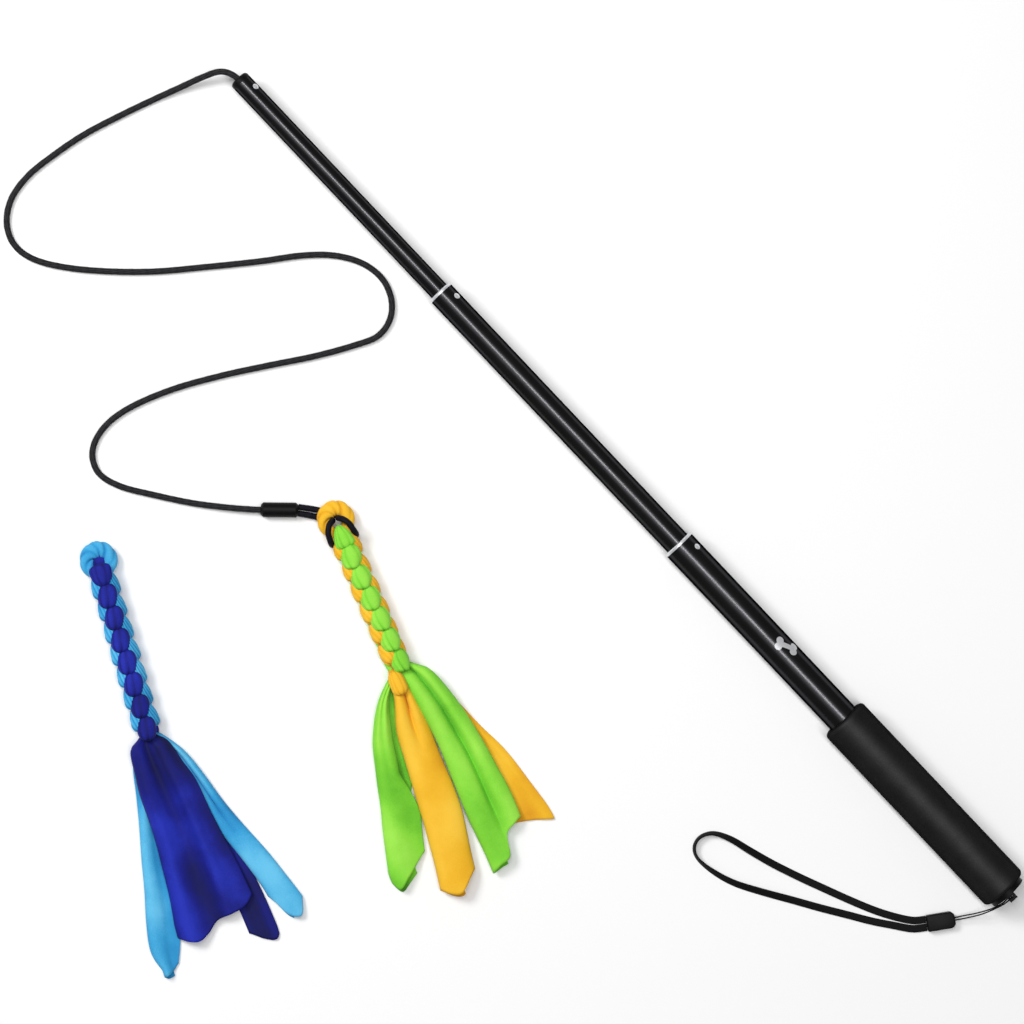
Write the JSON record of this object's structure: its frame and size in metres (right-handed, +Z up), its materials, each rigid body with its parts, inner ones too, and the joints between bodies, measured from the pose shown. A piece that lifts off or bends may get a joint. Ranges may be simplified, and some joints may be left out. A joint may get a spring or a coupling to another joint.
{
  "type": "dog flirt pole",
  "caption": "Telescopic pole with a foam grip and wrist strap, trailing a cord that ends in a braided fleece lure with loose tails, with a spare lure beside it.",
  "frame": {"origin": "middle of the foam grip, on the pole's axis", "axes": "+X along the pole towards its tip, +Z up from the floor that the pole lies on"},
  "size_m": [0.9676, 0.5652, 0.04],
  "materials": {
    "anodised_tube": "satin black anodised",
    "foam": "matte closed-cell foam",
    "nylon": "moulded, lightly grained",
    "bright": "polished",
    "cord": "braided sheath",
    "webbing": "woven",
    "fleece_green": "brushed fleece",
    "fleece_yellow": "brushed fleece",
    "fleece_navy": "brushed fleece",
    "fleece_sky": "brushed fleece"
  },
  "bodies": {
    "handle": {"handle_tube": "anodised_tube", "foam_grip": "foam", "butt_cap": "nylon", "handle_mouth_bush": "nylon", "handle_ring": "bright", "handle_rivet": "bright"},
    "middle": {"middle_tube": "anodised_tube", "middle_tail_bush": "nylon", "middle_mouth_bush": "nylon", "middle_ring": "bright", "middle_rivet": "bright"},
    "tip": {"tip_tube": "anodised_tube", "tip_tail_bush": "nylon", "tip_plug": "nylon", "tip_rivet": "bright", "cord_knot": "cord", "cord": "cord", "cord_sleeve": "nylon", "hitch_strands": "cord"},
    "lure": {"hitch_bight": "cord", "lure_head": "fleece_yellow", "lure_neck": "fleece_yellow", "lure_braid": "fleece_green", "lure_tail_left": "fleece_green", "lure_tail_centre": "fleece_yellow", "lure_tail_right": "fleece_green", "lure_tail_back": "fleece_yellow"},
    "spare": {"spare_head": "fleece_sky", "spare_neck": "fleece_sky", "spare_braid": "fleece_navy", "spare_tail_left": "fleece_sky", "spare_tail_front": "fleece_navy", "spare_tail_right": "fleece_sky", "spare_tail_back": "fleece_navy"},
    "strap": {"strap_strand": "webbing", "strap_ferrule": "nylon", "strap_webbing": "webbing"}
  },
  "joints": [
    {"name": "middle_slide", "type": "slide", "parent": "handle", "child": "middle", "axis": [1, 0, 0], "range_m": [-0.26, 0]},
    {"name": "tip_slide", "type": "slide", "parent": "middle", "child": "tip", "axis": [1, 0, 0], "range_m": [-0.21, 0]},
    {"name": "lure_swing", "type": "hinge", "parent": "tip", "child": "lure", "pos_m": [0.489, 0.186, 0], "axis": [0, 0, 1], "range_deg": [-8, 25]},
    {"name": "strap_swing", "type": "hinge", "parent": "handle", "child": "strap", "pos_m": [-0.102, 0, 0], "axis": [0, 0, 1], "range_deg": [0, 110]},
    {"name": "spare_lift", "type": "slide", "parent": "handle", "child": "spare", "axis": [0, 0, 1], "range_m": [0, 0.25]}
  ]
}
